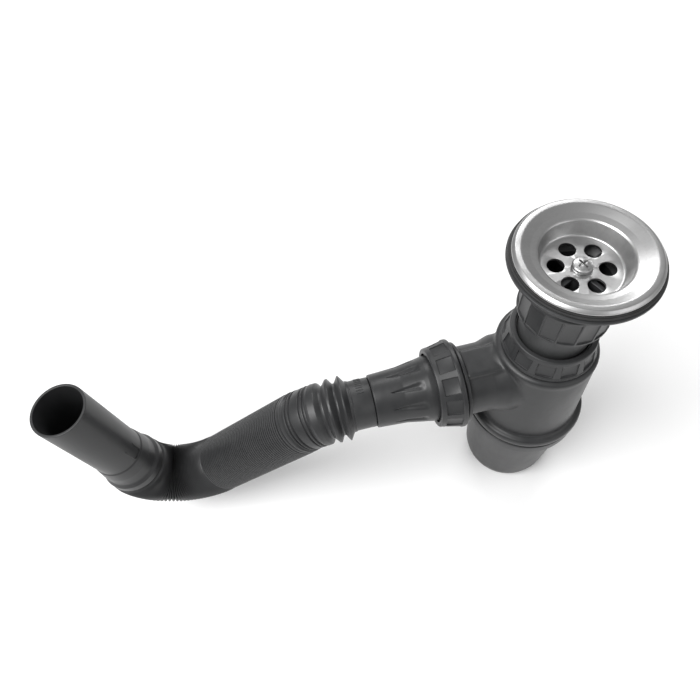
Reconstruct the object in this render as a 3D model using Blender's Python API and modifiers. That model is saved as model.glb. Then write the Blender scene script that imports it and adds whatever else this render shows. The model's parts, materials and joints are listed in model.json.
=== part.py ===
"""A bottle trap for a kitchen sink: strainer waste above, bottle with a screw-on cup below, and a
corrugated outlet hose that ends in a plain spigot. Lengths are in millimetres until they meet Blender.
The origin is on the waste's axis at the underside of the strainer's flange, and the outlet points to -X."""

import math

import bmesh
import bpy
from mathutils import Matrix, Vector

MM = 0.001
STEPS = 32
HOSE_STEPS = 24

SEAT = 0.1
RUNNING_GAP = 0.3
THREAD_GAP = 0.45

STRAINER_RADIUS = 35.0
SHEET = 1.2
WELL_RADIUS = 22.3
WELL_TAPER = 2.0
WELL_DEPTH = 10.7
DISH = 1.8
CROWN = 1.0
DRAIN_HOLE_RADIUS = 4.3
DRAIN_HOLE_CIRCLE = 12.2
DRAIN_HOLE_COUNT = 6
DRAIN_HOLE_START = math.radians(-20)

SCREW_RADIUS = 3.0
SCREW_LENGTH = 24.0
HEAD_RADIUS = 5.2
HEAD_HEIGHT = 3.0
INSERT_FIT = 0.06
INSERT_WALL = 1.1
BOSS_WALL = 2.3

STRAINER_GASKET = 0.7
SINK_GASKET = 1.2
WASTE_RADIUS = 37.0
WASTE_FLANGE = 3.0
WASTE_WALL = 2.9
BOWL_GAP = 0.7
BOWL_DEPTH = 9.8
TAIL_LENGTH = 15.0

TUBE_RADIUS = 20.0
TUBE_WALL = 1.6
TUBE_DEPTH = 24.0
TAIL_STEP = 1.5
UNION_SEAL = 1.7
TUBE_FLANGE = 2.8
UNION_NUT_WALL = 2.65
UNION_NUT_PANELS = 16
UNION_LIP = 3.2

NUT_HEIGHT = 15.2
NUT_LIP = 1.8
NUT_LIP_GAP = 1.4
NUT_SMALL_STEP = 4.3
NUT_WALL = 3.4
NUT_PANELS = 12
NUT_PANEL_DEPTH = 0.9
SLIP_RING = 1.4
CONE_SEAL = 3.2
CONE_NOSE = 2.2
SEAL_WIDTH = 2.3
NECK_BORE_GAP = 1.3
NECK_WALL = 2.2

BOTTLE_NUT_Z = -61.6
SHOULDER_STEP = 6.3
BODY_FLARE = 3.5
BODY_WALL = 2.6
BEAD_DROP = 18.6
BEAD_STEP = 4.5
BEAD_HEIGHT = 7.4
SKIRT_LENGTH = 9.0
CUP_SEAL = 1.2
CUP_WALL = 2.4
CUP_RIM_STEP = 0.6
CUP_RIM_HEIGHT = 8.0
CUP_BARREL_STEP = 4.2
CUP_FOOT_STEP = 10.2
CUP_FOOT_DEPTH = 56.0

OUTLET_DROP = 4.4
BRANCH_STEP = 1.2
BRANCH_WALL = 2.8
BRANCH_LENGTH = 17.5
BRANCH_COLLAR = 2.6
BRANCH_COLLAR_STEP = 1.1
COLLAR_TO_NUT = 1.0
SOCKET_DEPTH = 14.4
SOCKET_GAP = 0.4
SADDLE_WIDTH = 19.0

REDUCER_WALL = 2.0
REDUCER_INSERT = 12.8
REDUCER_TAPER = 36.4
REDUCER_END_STEP = 3.7
REDUCER_WAIST_STEP = 0.9
STUB_GAP = 1.7
STUB_WALL = 1.6
STUB_LENGTH = 13.0
STUB_SEAL = 3.0
CUFF_STEP = 1.1
CUFF_WALL = 1.8
CUFF_LENGTH = 13.0

ROOT_STEP = 0.5
RIDGE_DEPTH = 4.1
LAND_DEPTH = 3.2
HOSE_WALL = 1.5
HOSE_RADIUS = 19.9
RIB_DEPTH = 1.1
RUN_RIBS = 15
BEND_RIBS = 16
BELLOWS_RIDGES = 3
BELLOWS_PITCH = 6.6
ELBOW_LEAD = 34.0
ELBOW_REACH = 16.5
RUN_DROP = math.radians(42.2)
RUN_SIDE = math.radians(9.4)
RUN_RING = 4.5
CORNER_REACH = 169.5
BEND_IN = 72.0
BEND_OUT = 61.0
PULL_IN = 1.5
PULL_OUT = 1.35
SPIGOT_DIRECTION = Vector((-0.081, -0.013, 0.997)).normalized()
SPIGOT_REACH = 154.9
SPIGOT_RADIUS = 16.0
SPIGOT_WALL = 1.6
SPIGOT_COLLAR = 25.0
SPIGOT_COLLAR_STEP = 1.7
SPIGOT_LIP = 8.0
SPIGOT_LIP_STEP = 0.4
LEAD = 4.0
STRAIGHT_END = 1.5

CHARCOAL = (0.045, 0.046, 0.048, 1)
RUBBER_BLACK = (0.012, 0.012, 0.013, 1)
STEEL_GREY = (0.62, 0.61, 0.59, 1)
BRASS_YELLOW = (0.62, 0.44, 0.18, 1)


def clear_scene():
    for old in list(bpy.data.objects):
        bpy.data.objects.remove(old, do_unlink=True)
    bpy.context.scene.unit_settings.system = "METRIC"


def new_collection(name):
    collection = bpy.data.collections.new(name)
    bpy.context.scene.collection.children.link(collection)
    return collection


def new_material(name, colour, metallic, roughness):
    material = bpy.data.materials.new(name)
    material.use_nodes = True
    shader = material.node_tree.nodes["Principled BSDF"]
    shader.inputs["Base Color"].default_value = colour
    shader.inputs["Metallic"].default_value = metallic
    shader.inputs["Roughness"].default_value = roughness
    material.diffuse_color = colour
    return material


def add_object(name, mesh, collection, colour=None, metallic=0.0, roughness=0.5):
    obj = bpy.data.objects.new(name, mesh)
    collection.objects.link(obj)
    if colour:
        obj.data.materials.append(new_material(name, colour, metallic, roughness))
    if collection is cutters:
        obj.hide_render = True
        obj.display_type = "WIRE"
    return obj


def turned(name, profile, collection, colour=None, metallic=0.0, roughness=0.5, closed=True, steps=STEPS):
    """A turned shape about local Z. The profile is (radius, height) points, down the outer side."""
    mesh = bpy.data.meshes.new(name)
    points = [(radius * MM, 0, height * MM) for radius, height in profile]
    edges = [(i, i + 1) for i in range(len(points) - 1)]
    if closed:
        edges.append((len(points) - 1, 0))
    mesh.from_pydata(points, edges, [])
    obj = add_object(name, mesh, collection, colour, metallic, roughness)
    screw = obj.modifiers.new("turn", "SCREW")
    screw.steps = steps
    screw.render_steps = steps
    screw.use_merge_vertices = True
    screw.merge_threshold = 0.00001
    screw.use_smooth_shade = False
    return obj


def boxes(name, size, places, collection):
    """One object of equal boxes, each at its own matrix."""
    mesh = bpy.data.meshes.new(name)
    work = bmesh.new()
    for place in places:
        scale = Matrix.Diagonal((size[0] * MM, size[1] * MM, size[2] * MM, 1))
        bmesh.ops.create_cube(work, size=1, matrix=place @ scale)
    work.to_mesh(mesh)
    work.free()
    return add_object(name, mesh, collection)


def cylinders(name, radius, low, high, centres, steps):
    """One cutter object of equal upright cylinders."""
    mesh = bpy.data.meshes.new(name)
    work = bmesh.new()
    for x, y in centres:
        place = Matrix.Translation((x * MM, y * MM, (low + high) / 2 * MM))
        bmesh.ops.create_cone(work, cap_ends=True, segments=steps, radius1=radius * MM,
                              radius2=radius * MM, depth=(high - low) * MM, matrix=place)
    work.to_mesh(mesh)
    work.free()
    return add_object(name, mesh, cutters)


def boolean(obj, other, operation):
    modifier = obj.modifiers.new(operation.lower(), "BOOLEAN")
    modifier.operation = operation
    modifier.object = other
    modifier.solver = "EXACT"


def ring_places(count, radius, height, start=0.0, tilt=0.0):
    """Matrices round local Z whose X axis points outward, tipped by tilt about the tangent."""
    for i in range(count):
        turn = Matrix.Rotation(start + 2 * math.pi * i / count, 4, "Z")
        yield turn @ Matrix.Translation((radius * MM, 0, height * MM)) @ Matrix.Rotation(tilt, 4, "Y")


def point_outward(obj, along=0.0):
    """Lays a shape turned about local Z on the outlet's axis, with local Z along -X."""
    obj.location = (-along * MM, 0, outlet_z * MM)
    obj.rotation_euler = (0, math.radians(-90), 0)


# The stack under the strainer, from the flange's underside down.
well_floor_radius = WELL_RADIUS - WELL_TAPER
well_floor_top = SHEET - WELL_DEPTH
well_floor_bottom = well_floor_top - SHEET
strainer_gasket_bottom = -SEAT - STRAINER_GASKET
sink_gasket_bottom = strainer_gasket_bottom - SEAT - SINK_GASKET
waste_top = sink_gasket_bottom - SEAT
bowl_radius = WELL_RADIUS + SHEET + BOWL_GAP
bowl_bottom = waste_top - WASTE_FLANGE - BOWL_DEPTH
tail_radius = TUBE_RADIUS + TAIL_STEP
cone_height = bowl_radius + WASTE_WALL - tail_radius
tail_top = bowl_bottom - cone_height
tail_bottom = tail_top - TAIL_LENGTH
tail_bore = tail_radius - WASTE_WALL
union_seal_top = tail_bottom - SEAT
tube_top = union_seal_top - UNION_SEAL - SEAT
union_lip_top = tube_top - TUBE_FLANGE - RUNNING_GAP
boss_top = well_floor_bottom - BOWL_GAP
gasket_bore = STRAINER_RADIUS - 4.5
insert_radius = SCREW_RADIUS + INSERT_FIT + INSERT_WALL

# A compression joint, measured from the nut's small end.
ring_depth = NUT_LIP + RUNNING_GAP
cone_depth = ring_depth + SLIP_RING + SEAT
neck_depth = cone_depth + CONE_SEAL
seal_outer = TUBE_RADIUS + SEAL_WIDTH
neck_bore = TUBE_RADIUS + NECK_BORE_GAP
neck_radius = neck_bore + NECK_WALL
nut_bore = neck_radius + THREAD_GAP
nut_small_radius = TUBE_RADIUS + NUT_SMALL_STEP
neck_top = BOTTLE_NUT_Z - neck_depth
nut_bottom = BOTTLE_NUT_Z - NUT_HEIGHT

# The bottle and its cup, from the nut down.
shoulder_top = nut_bottom - 0.4
shoulder_radius = neck_radius + SHOULDER_STEP
body_foot_radius = shoulder_radius + BODY_FLARE
branch_radius = TUBE_RADIUS + BRANCH_STEP
branch_bore = branch_radius - BRANCH_WALL
outlet_z = shoulder_top - OUTLET_DROP - branch_radius
bead_z = outlet_z - branch_radius - BEAD_DROP
bead_radius = body_foot_radius + BEAD_STEP
bead_bottom = bead_z - BEAD_HEIGHT
tube_end_z = bead_bottom - TUBE_DEPTH
skirt_radius = body_foot_radius - 0.1
cup_top = bead_bottom - CUP_SEAL - 2 * SEAT
cup_bore = skirt_radius + THREAD_GAP
cup_rim_radius = bead_radius - CUP_RIM_STEP
cup_foot_radius = cup_rim_radius - CUP_FOOT_STEP
cup_foot_z = tube_end_z - CUP_FOOT_DEPTH

# The outlet, as distances along -X from the bottle's axis.
branch_collar_at = body_foot_radius + BRANCH_LENGTH
branch_collar_radius = neck_radius + BRANCH_COLLAR_STEP
outlet_nut_start = branch_collar_at + BRANCH_COLLAR + COLLAR_TO_NUT
outlet_nut_end = outlet_nut_start + NUT_HEIGHT
branch_end = outlet_nut_end - neck_depth
reducer_end = outlet_nut_end + REDUCER_TAPER
reducer_end_radius = TUBE_RADIUS - REDUCER_END_STEP
reducer_waist_radius = reducer_end_radius + REDUCER_WAIST_STEP
stub_radius = reducer_end_radius - REDUCER_WALL - STUB_GAP
cuff_radius = reducer_end_radius - CUFF_STEP
cuff_end = reducer_end + RUNNING_GAP + CUFF_LENGTH
root_radius = cuff_radius + ROOT_STEP
ridge_radius = root_radius + RIDGE_DEPTH
land_radius = root_radius + LAND_DEPTH
elbow_at = reducer_end + ELBOW_LEAD

# The hose's centre line: down the run towards a corner that a smooth bend cuts, then up the spigot.
run_direction = Vector((
    -math.cos(RUN_DROP) * math.cos(RUN_SIDE),
    math.cos(RUN_DROP) * math.sin(RUN_SIDE),
    -math.sin(RUN_DROP),
))
elbow = Vector((-elbow_at, 0, outlet_z))
corner = elbow + run_direction * CORNER_REACH
run_length = CORNER_REACH - ELBOW_REACH - BEND_IN
hose_bore = HOSE_RADIUS - RIB_DEPTH - HOSE_WALL
spigot_length = SPIGOT_REACH - BEND_OUT - RUNNING_GAP


def strainer_plate():
    outer = WELL_RADIUS + SHEET
    crown = SHEET + CROWN
    slope = STRAINER_RADIUS - 4
    plate = turned("strainer_plate", [
        (WELL_RADIUS + 1.4, SHEET - DISH + 0.2), (WELL_RADIUS + 4, SHEET - 0.6 * DISH), (slope, crown),
        (STRAINER_RADIUS - 1.8, crown), (STRAINER_RADIUS - 0.4, SHEET), (STRAINER_RADIUS, 0.5),
        (STRAINER_RADIUS - 0.2, 0), (STRAINER_RADIUS - 1.3, 0), (STRAINER_RADIUS - 2.2, CROWN - 0.1),
        (slope, CROWN - 0.1), (WELL_RADIUS + 4.4, -0.6 * DISH), (outer + 0.4, -DISH - 0.2),
        (outer, -DISH - 1), (well_floor_radius + 1.6, well_floor_bottom + 0.8),
        (well_floor_radius, well_floor_bottom),
        (SCREW_RADIUS + RUNNING_GAP, well_floor_bottom), (SCREW_RADIUS + RUNNING_GAP, well_floor_top),
        (well_floor_radius - 0.8, well_floor_top), (well_floor_radius + 0.4, well_floor_top + 0.8),
        (WELL_RADIUS, SHEET - DISH - 1.4),
    ], parts, STEEL_GREY, 1.0, 0.3)
    centres = []
    for i in range(DRAIN_HOLE_COUNT):
        angle = DRAIN_HOLE_START + 2 * math.pi * i / DRAIN_HOLE_COUNT
        centres.append((DRAIN_HOLE_CIRCLE * math.cos(angle), DRAIN_HOLE_CIRCLE * math.sin(angle)))
    holes = cylinders("drain_holes", DRAIN_HOLE_RADIUS, well_floor_bottom - 3, well_floor_top + 3,
                      centres, 20)
    boolean(plate, holes, "DIFFERENCE")
    return plate


def strainer_screw():
    seat = well_floor_top + SEAT
    top = seat + HEAD_HEIGHT
    screw = turned("strainer_screw", [
        (0, top), (HEAD_RADIUS * 0.55, top - 0.2), (HEAD_RADIUS, top - HEAD_HEIGHT * 0.5),
        (HEAD_RADIUS, seat), (SCREW_RADIUS, seat),
        (SCREW_RADIUS, seat - SCREW_LENGTH + 1), (SCREW_RADIUS - 1, seat - SCREW_LENGTH),
        (0, seat - SCREW_LENGTH),
    ], parts, STEEL_GREY, 1.0, 0.35, closed=False, steps=20)
    arms = [Matrix.Translation((0, 0, top * MM)) @ Matrix.Rotation(math.radians(angle), 4, "Z")
            for angle in (20, 110)]
    for number, arm in enumerate(arms):
        slot = boxes(f"cross_slot_{number}", (HEAD_RADIUS * 1.05, 0.9, 2.4), [arm], cutters)
        boolean(screw, slot, "DIFFERENCE")
    return screw


def gaskets():
    turned("strainer_gasket", [
        (STRAINER_RADIUS + 0.5, -SEAT), (STRAINER_RADIUS + 0.5, strainer_gasket_bottom),
        (gasket_bore, strainer_gasket_bottom), (gasket_bore, -SEAT),
    ], parts, RUBBER_BLACK, 0.0, 0.75)
    top = strainer_gasket_bottom - SEAT
    turned("sink_gasket", [
        (WASTE_RADIUS - 0.7, top), (WASTE_RADIUS - 0.7, sink_gasket_bottom),
        (gasket_bore - 1.8, sink_gasket_bottom), (gasket_bore - 1.8, top),
    ], parts, RUBBER_BLACK, 0.0, 0.75)


def waste_body():
    bowl_outer = bowl_radius + WASTE_WALL
    flange_bottom = waste_top - WASTE_FLANGE
    body = turned("waste_body", [
        (WASTE_RADIUS - 0.4, waste_top), (WASTE_RADIUS, waste_top - 0.5),
        (WASTE_RADIUS, flange_bottom + 0.6), (WASTE_RADIUS - 0.7, flange_bottom),
        (bowl_outer, flange_bottom), (bowl_outer, bowl_bottom), (tail_radius, tail_top),
        (tail_radius, tail_bottom), (tail_bore, tail_bottom),
        (tail_bore, tail_top + 1), (bowl_radius, bowl_bottom + 1), (bowl_radius, waste_top),
    ], parts, CHARCOAL, 0.0, 0.5)
    boss_bottom = boss_top - 14
    boss = turned("boss", [
        (0, boss_top), (insert_radius + BOSS_WALL, boss_top),
        (insert_radius + BOSS_WALL - 0.6, boss_bottom), (0, boss_bottom),
    ], cutters, closed=False, steps=20)
    rib_height = 4.0
    reach = bowl_radius + WASTE_WALL / 2
    for number, angle in enumerate((25, 115)):
        place = Matrix.Translation((0, 0, (boss_top - 1 - rib_height / 2) * MM))
        place = place @ Matrix.Rotation(math.radians(angle), 4, "Z")
        rib = boxes(f"spider_{number}", (2 * reach, 2.4, rib_height), [place], cutters)
        boolean(body, rib, "UNION")
    boolean(body, boss, "UNION")
    bore = cylinders("insert_bore", insert_radius + SEAT, boss_bottom - 4, boss_top + 4, [(0, 0)], 20)
    boolean(body, bore, "DIFFERENCE")
    turned("screw_insert", [
        (insert_radius, boss_top - 1), (insert_radius, boss_bottom + 1),
        (SCREW_RADIUS + INSERT_FIT, boss_bottom + 1), (SCREW_RADIUS + INSERT_FIT, boss_top - 1),
    ], parts, BRASS_YELLOW, 1.0, 0.4, steps=20)
    return body


def union_joint():
    """The ribbed nut that holds the inlet tube against the waste's tail."""
    turned("union_seal", [
        (tail_radius - 0.2, union_seal_top), (tail_radius - 0.2, union_seal_top - UNION_SEAL),
        (tail_bore + 0.2, union_seal_top - UNION_SEAL), (tail_bore + 0.2, union_seal_top),
    ], parts, RUBBER_BLACK, 0.0, 0.75)
    bore = tail_radius + THREAD_GAP
    outer = bore + UNION_NUT_WALL
    top = tail_top - 1
    bottom = union_lip_top - UNION_LIP
    nut = turned("union_nut", [
        (outer - 1, top), (outer, top - 1), (outer, bottom + 0.8), (outer - 0.8, bottom),
        (TUBE_RADIUS + THREAD_GAP, bottom), (TUBE_RADIUS + THREAD_GAP, union_lip_top),
        (bore, union_lip_top), (bore, top),
    ], parts, CHARCOAL, 0.0, 0.5)
    depth = 1.0
    width = 2 * math.pi * outer / UNION_NUT_PANELS - 1.6
    places = list(ring_places(UNION_NUT_PANELS, outer + 2 - depth, (top + bottom) / 2 - 0.6))
    panels = boxes("union_panels", (4, width, top - bottom - 6), places, cutters)
    boolean(nut, panels, "DIFFERENCE")
    turned("inlet_tube", [
        (tail_radius, tube_top), (tail_radius, tube_top - TUBE_FLANGE),
        (TUBE_RADIUS, tube_top - TUBE_FLANGE), (TUBE_RADIUS, tube_end_z),
        (TUBE_RADIUS - TUBE_WALL, tube_end_z), (TUBE_RADIUS - TUBE_WALL, tube_top),
    ], parts, CHARCOAL, 0.0, 0.45)


def compression_nut(name):
    """A nut whose small end is at local height 0 and whose thread end is below it."""
    thread_outer = nut_bore + NUT_WALL
    nut = turned(name, [
        (nut_small_radius - 0.6, 0), (nut_small_radius, -0.7), (thread_outer, -NUT_HEIGHT + 0.6),
        (thread_outer - 0.6, -NUT_HEIGHT), (nut_bore, -NUT_HEIGHT), (nut_bore, -neck_depth - 0.2),
        (seal_outer + RUNNING_GAP, -neck_depth + 0.6), (seal_outer + RUNNING_GAP, -NUT_LIP),
        (TUBE_RADIUS + NUT_LIP_GAP, -NUT_LIP), (TUBE_RADIUS + NUT_LIP_GAP, 0),
    ], parts, CHARCOAL, 0.0, 0.5)
    slope = math.atan2(thread_outer - nut_small_radius, NUT_HEIGHT)
    middle = (thread_outer + nut_small_radius) / 2
    width = 2 * math.pi * middle / NUT_PANELS * 0.5
    places = list(ring_places(NUT_PANELS, middle + 2 - NUT_PANEL_DEPTH, -NUT_HEIGHT / 2, tilt=-slope))
    panels = boxes(name + "_panels", (4, width, NUT_HEIGHT * 0.62), places, cutters)
    panels.parent = nut
    boolean(nut, panels, "DIFFERENCE")
    return nut


def slip_ring(name):
    return turned(name, [
        (seal_outer, -ring_depth), (seal_outer, -ring_depth - SLIP_RING),
        (TUBE_RADIUS + RUNNING_GAP, -ring_depth - SLIP_RING), (TUBE_RADIUS + RUNNING_GAP, -ring_depth),
    ], parts, CHARCOAL, 0.0, 0.45)


def cone_seal(name):
    bore = TUBE_RADIUS + RUNNING_GAP * 0.7
    nose = neck_bore - RUNNING_GAP
    return turned(name, [
        (seal_outer, -cone_depth), (seal_outer, -neck_depth + 0.5),
        (nose, -neck_depth - CONE_NOSE + 1), (nose, -neck_depth - CONE_NOSE),
        (bore, -neck_depth - CONE_NOSE), (bore, -cone_depth),
    ], parts, RUBBER_BLACK, 0.0, 0.75)


def bottle_joint():
    pieces = (compression_nut("bottle_nut"), slip_ring("bottle_slip_ring"), cone_seal("bottle_cone_seal"))
    for piece in pieces:
        piece.location.z = BOTTLE_NUT_Z * MM


def bottle_body():
    body = turned("bottle_body", [
        (0, neck_top), (neck_radius, neck_top), (neck_radius, shoulder_top),
        (shoulder_radius - 2.6, shoulder_top - 0.3), (shoulder_radius - 0.4, shoulder_top - 1.4),
        (shoulder_radius, shoulder_top - 2.6), (shoulder_radius, shoulder_top - 4.4),
        (body_foot_radius, bead_z), (bead_radius - 1.4, bead_z - 0.7), (bead_radius, bead_z - 2.6),
        (bead_radius, bead_bottom + 1.6), (bead_radius - 1.1, bead_bottom),
        (skirt_radius, bead_bottom), (skirt_radius, bead_bottom - SKIRT_LENGTH),
        (0, bead_bottom - SKIRT_LENGTH),
    ], parts, CHARCOAL, 0.0, 0.5, closed=False)
    branch = turned("branch", [
        (0, branch_end), (neck_radius, branch_end),
        (neck_radius, branch_collar_at + BRANCH_COLLAR),
        (branch_collar_radius, branch_collar_at + BRANCH_COLLAR),
        (branch_collar_radius, branch_collar_at), (branch_radius, branch_collar_at),
        (branch_radius, 5), (0, 5),
    ], cutters, closed=False)
    point_outward(branch)
    saddle_low = body_foot_radius - BODY_WALL - 8
    saddle_top = outlet_z + branch_radius + 0.5
    middle = (saddle_low + branch_collar_at + 0.4) / 2
    place = Matrix.Translation((-middle * MM, 0, (saddle_top - 5) * MM))
    saddle = boxes("saddle", (branch_collar_at + 0.4 - saddle_low, SADDLE_WIDTH, 10), [place], cutters)
    chamber_top = shoulder_radius - BODY_WALL
    chamber_foot = skirt_radius - BODY_WALL
    flare = 3.0
    chamber = turned("chamber", [
        (0, neck_top + flare), (neck_bore + 1.2 + flare, neck_top + flare), (neck_bore, neck_top - 1.5),
        (neck_bore, shoulder_top), (chamber_top, shoulder_top - 6), (chamber_foot, bead_z - 1),
        (chamber_foot, bead_bottom - SKIRT_LENGTH - 4), (0, bead_bottom - SKIRT_LENGTH - 4),
    ], cutters, closed=False)
    socket = TUBE_RADIUS + SOCKET_GAP
    passage = turned("passage", [
        (0, branch_end + flare), (neck_bore + 1.2 + flare, branch_end + flare),
        (neck_bore, branch_end - 1.5), (neck_bore, branch_end - CONE_NOSE - 1.5),
        (socket, branch_end - CONE_NOSE - 2.5), (socket, branch_end - SOCKET_DEPTH),
        (branch_bore, branch_end - SOCKET_DEPTH - 0.5), (branch_bore, 0), (0, 0),
    ], cutters, closed=False)
    point_outward(passage)
    boolean(body, branch, "UNION")
    boolean(body, saddle, "UNION")
    boolean(body, chamber, "DIFFERENCE")
    boolean(body, passage, "DIFFERENCE")
    return body


def cup():
    turned("cup_seal", [
        (bead_radius - 1.3, bead_bottom - SEAT), (bead_radius - 1.3, bead_bottom - SEAT - CUP_SEAL),
        (cup_bore, bead_bottom - SEAT - CUP_SEAL), (cup_bore, bead_bottom - SEAT),
    ], parts, RUBBER_BLACK, 0.0, 0.75)
    rim_bottom = cup_top - CUP_RIM_HEIGHT
    barrel = cup_rim_radius - CUP_BARREL_STEP
    depth = rim_bottom - cup_foot_z
    side = [(barrel + 2.9, rim_bottom - 1.4), (barrel, rim_bottom - 6.6),
            (barrel - 1, rim_bottom - 0.43 * depth), (barrel - 2.8, rim_bottom - 0.87 * depth),
            (cup_foot_radius + 1.8, cup_foot_z + 3)]
    inner = [(radius - CUP_WALL, height + 0.4) for radius, height in side[1:]]
    turned("cup", [
        (0, cup_foot_z + CUP_WALL), (cup_foot_radius - 1.5, cup_foot_z + CUP_WALL),
        *reversed(inner), (cup_bore, bead_bottom - SKIRT_LENGTH - 1), (cup_bore, cup_top),
        (cup_rim_radius - 0.8, cup_top), (cup_rim_radius, cup_top - 0.8), (cup_rim_radius, rim_bottom),
        *side, (cup_foot_radius, cup_foot_z), (0, cup_foot_z),
    ], parts, CHARCOAL, 0.0, 0.5, closed=False)


def outlet_joint():
    """The nut, ring and seal on the branch, the tapered reducer in it and the seal in its small end."""
    pieces = (compression_nut("outlet_nut"), slip_ring("outlet_slip_ring"), cone_seal("outlet_cone_seal"))
    for piece in pieces:
        point_outward(piece, along=outlet_nut_end)
    bore = reducer_end_radius - REDUCER_WALL
    start = branch_end - REDUCER_INSERT
    straight = outlet_nut_end + 1.4
    reducer = turned("reducer", [
        (reducer_end_radius - 0.4, reducer_end), (reducer_end_radius, reducer_end - 0.6),
        (reducer_waist_radius, straight + 17), (TUBE_RADIUS - 0.7, straight + 4.5),
        (TUBE_RADIUS, straight), (TUBE_RADIUS, start), (TUBE_RADIUS - REDUCER_WALL, start),
        (TUBE_RADIUS - REDUCER_WALL, straight), (bore + 0.6, straight + 18), (bore, reducer_end - 15),
        (bore, reducer_end),
    ], parts, CHARCOAL, 0.0, 0.5)
    point_outward(reducer)
    seal_start = reducer_end - 0.75 * STUB_LENGTH
    seal = turned("reducer_seal", [
        (bore - 0.2, seal_start + STUB_SEAL), (bore - 0.2, seal_start),
        (stub_radius + 0.2, seal_start), (stub_radius + 0.2, seal_start + STUB_SEAL),
    ], parts, RUBBER_BLACK, 0.0, 0.75)
    point_outward(seal)


def hose_cuff():
    face = reducer_end + RUNNING_GAP
    stub = stub_radius - STUB_WALL
    cuff = turned("hose_cuff", [
        (cuff_radius, cuff_end), (cuff_radius, face), (stub_radius, face),
        (stub_radius, reducer_end - STUB_LENGTH), (stub, reducer_end - STUB_LENGTH),
        (stub, face), (cuff_radius - CUFF_WALL, face + 3), (cuff_radius - CUFF_WALL, cuff_end),
    ], parts, CHARCOAL, 0.0, 0.5)
    point_outward(cuff)


def with_leads(start, forward, middle, end, onward):
    """A path's points, with a straight lead before its start and after its end."""
    return [start - forward * LEAD, start, *middle, end, end + onward * LEAD]


def smooth_bend(start, start_pull, end, end_pull, count=48):
    """A path between two places with a pull at each. Its ends are straight for a short way."""
    forward = start_pull.normalized()
    onward = end_pull.normalized()
    first = start + forward * STRAIGHT_END
    last = end - onward * STRAIGHT_END
    middle = []
    for i in range(count + 1):
        t = i / count
        middle.append(
            (2 * t**3 - 3 * t**2 + 1) * first + (t**3 - 2 * t**2 + t) * start_pull
            + (3 * t**2 - 2 * t**3) * last + (t**3 - t**2) * end_pull
        )
    return with_leads(start, forward, middle, end, onward)


def straight_line(start, direction, length):
    return with_leads(start, direction, [], start + direction * length, direction)


def length_of(points):
    """The length of a path between its leads."""
    return sum((b - a).length for a, b in zip(points, points[1:])) - 2 * LEAD


def along_path(obj, points):
    """Bends a shape turned about local Z along a path; its height 0 is where the lead begins."""
    curve = bpy.data.curves.new(obj.name + "_path", "CURVE")
    curve.dimensions = "3D"
    curve.twist_mode = "MINIMUM"
    spline = curve.splines.new("POLY")
    spline.points.add(len(points) - 1)
    for control, point in zip(spline.points, points):
        control.co = (*(point * MM), 1)
    guide = add_object(obj.name + "_path", curve, cutters)
    bend = obj.modifiers.new("bend", "CURVE")
    bend.object = guide
    bend.deform_axis = "POS_Z"


def flexible_tube(name, outer, points, inner_radius):
    """A closed tube on a path: outer is (distance, radius) points from the path's start."""
    length = length_of(points)
    count = max(2, round(length / 8))
    inner = [(inner_radius, length * i / count) for i in range(count + 1)]
    profile = [(radius, LEAD + at) for at, radius in reversed(outer)]
    profile += [(radius, LEAD + at) for radius, at in inner]
    tube = turned(name, profile, parts, CHARCOAL, 0.0, 0.5, steps=HOSE_STEPS)
    along_path(tube, points)
    return tube


def ribbed(length, ribs, crest, root, land=1.2):
    """Outer points of even ribs between two plain ends."""
    pitch = (length - 2 * land) / ribs
    points = [(0, crest)]
    for i in range(ribs):
        points.append((land + pitch * i, root))
        points.append((land + pitch * (i + 0.5), crest))
    points.append((length - land, root))
    points.append((length, crest))
    return points


def hose():
    start = Vector((-cuff_end - RUNNING_GAP, 0, outlet_z))
    run_start = elbow + run_direction * ELBOW_REACH
    pull = (elbow - start).length * 1.75
    path = smooth_bend(start, Vector((-pull, 0, 0)), run_start, run_direction * pull)
    length = length_of(path)
    outer = [(0, root_radius)]
    for i in range(BELLOWS_RIDGES):
        at = BELLOWS_PITCH * (i + 0.6)
        outer += [(at - 2.2, root_radius), (at, ridge_radius), (at + 2.2, root_radius + 0.6 * i)]
    lands = BELLOWS_PITCH * (BELLOWS_RIDGES + 0.2)
    outer += [(at, land_radius) for at in (lands, (lands + length) / 2, length)]
    flexible_tube("hose_bellows", outer, path, root_radius - HOSE_WALL)

    ring = [(0, HOSE_RADIUS), (RUN_RING, HOSE_RADIUS)]
    ribbed_length = run_length - 2 * RUN_RING - 4 * RUNNING_GAP
    ribs = ribbed(ribbed_length, RUN_RIBS, HOSE_RADIUS, HOSE_RADIUS - RIB_DEPTH)
    at = run_start
    for name, shape, part_length in (("hose_run_top", ring, RUN_RING), ("hose_run", ribs, ribbed_length),
                                     ("hose_run_end", ring, RUN_RING)):
        at = at + run_direction * RUNNING_GAP
        flexible_tube(name, shape, straight_line(at, run_direction, part_length), hose_bore)
        at = at + run_direction * part_length

    bend_path = smooth_bend(at + run_direction * RUNNING_GAP, run_direction * PULL_IN * BEND_IN,
                            corner + SPIGOT_DIRECTION * BEND_OUT, SPIGOT_DIRECTION * PULL_OUT * BEND_OUT)
    ribs = ribbed(length_of(bend_path), BEND_RIBS, HOSE_RADIUS + 0.6, HOSE_RADIUS - 1.5 * RIB_DEPTH)
    flexible_tube("hose_bend", ribs, bend_path, hose_bore)


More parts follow.
